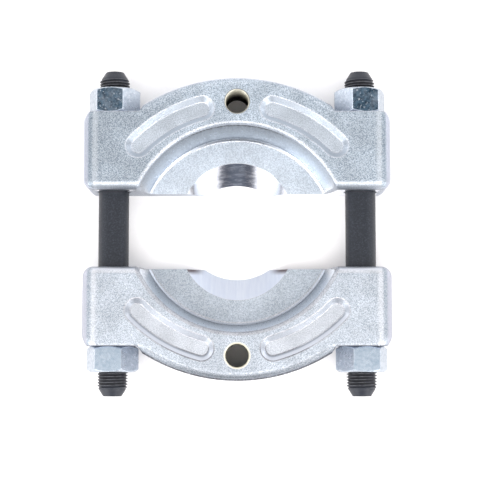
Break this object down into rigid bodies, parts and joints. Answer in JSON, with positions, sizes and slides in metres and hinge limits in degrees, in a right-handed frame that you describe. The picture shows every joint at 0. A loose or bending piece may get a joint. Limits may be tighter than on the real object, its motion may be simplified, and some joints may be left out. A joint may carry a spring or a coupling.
{
  "type": "bearing separator",
  "caption": "Forged jaws with dished fronts and knife-edged half bores, drawn together along threaded studs by hexagon nuts to grip behind a bearing; threaded holes take a puller's bolts.",
  "frame": {"origin": "middle of the opening between the jaws, on the plane of their flat backs", "axes": "+Z out of the dished front faces, +X across the studs, +Y along the studs towards the upper jaw"},
  "size_m": [0.16, 0.171, 0.03],
  "materials": {
    "jaw_zinc": "forged steel, shot blasted and zinc plated, fine bright grain",
    "nut_zinc": "steel, zinc plated, bright",
    "stud_black": "steel, blackened and oiled, satin"
  },
  "bodies": {
    "lower_jaw": {"lower_jaw": "jaw_zinc"},
    "upper_jaw": {"upper_jaw": "jaw_zinc"},
    "left_stud": {"left_stud": "stud_black"},
    "right_stud": {"right_stud": "stud_black"},
    "upper_left_nut": {"upper_left_nut": "nut_zinc"},
    "upper_right_nut": {"upper_right_nut": "nut_zinc"},
    "lower_left_nut": {"lower_left_nut": "nut_zinc"},
    "lower_right_nut": {"lower_right_nut": "nut_zinc"}
  },
  "joints": [
    {"name": "upper_jaw_slide", "type": "slide", "parent": "lower_jaw", "child": "upper_jaw", "axis": [0, -1, 0], "range_m": [-0.012, 0.036]},
    {"name": "left_stud_slide", "type": "slide", "parent": "lower_jaw", "child": "left_stud", "axis": [0, -1, 0], "range_m": [-0.006, 0.018]},
    {"name": "right_stud_slide", "type": "slide", "parent": "lower_jaw", "child": "right_stud", "axis": [0, -1, 0], "range_m": [-0.006, 0.018]},
    {"name": "upper_left_nut_turn", "type": "hinge", "parent": "upper_jaw", "child": "upper_left_nut", "pos_m": [-0.065, 0.061, 0.015], "axis": [0, -1, 0], "range_deg": [-1440, 4320]},
    {"name": "upper_right_nut_turn", "type": "hinge", "parent": "upper_jaw", "child": "upper_right_nut", "pos_m": [0.065, 0.061, 0.015], "axis": [0, -1, 0], "range_deg": [-1440, 4320]},
    {"name": "lower_left_nut_turn", "type": "hinge", "parent": "lower_jaw", "child": "lower_left_nut", "pos_m": [-0.065, -0.061, 0.015], "axis": [0, 1, 0], "range_deg": [-1440, 4320]},
    {"name": "lower_right_nut_turn", "type": "hinge", "parent": "lower_jaw", "child": "lower_right_nut", "pos_m": [0.065, -0.061, 0.015], "axis": [0, 1, 0], "range_deg": [-1440, 4320]}
  ],
  "couplings": [
    {"joint": "left_stud_slide", "follows": "upper_jaw_slide", "ratio": 0.5},
    {"joint": "right_stud_slide", "follows": "upper_jaw_slide", "ratio": 0.5},
    {"joint": "upper_left_nut_turn", "follows": "upper_jaw_slide", "rad_per_m": 2094.4},
    {"joint": "upper_right_nut_turn", "follows": "upper_jaw_slide", "rad_per_m": 2094.4},
    {"joint": "lower_left_nut_turn", "follows": "upper_jaw_slide", "rad_per_m": 2094.4},
    {"joint": "lower_right_nut_turn", "follows": "upper_jaw_slide", "rad_per_m": 2094.4}
  ]
}
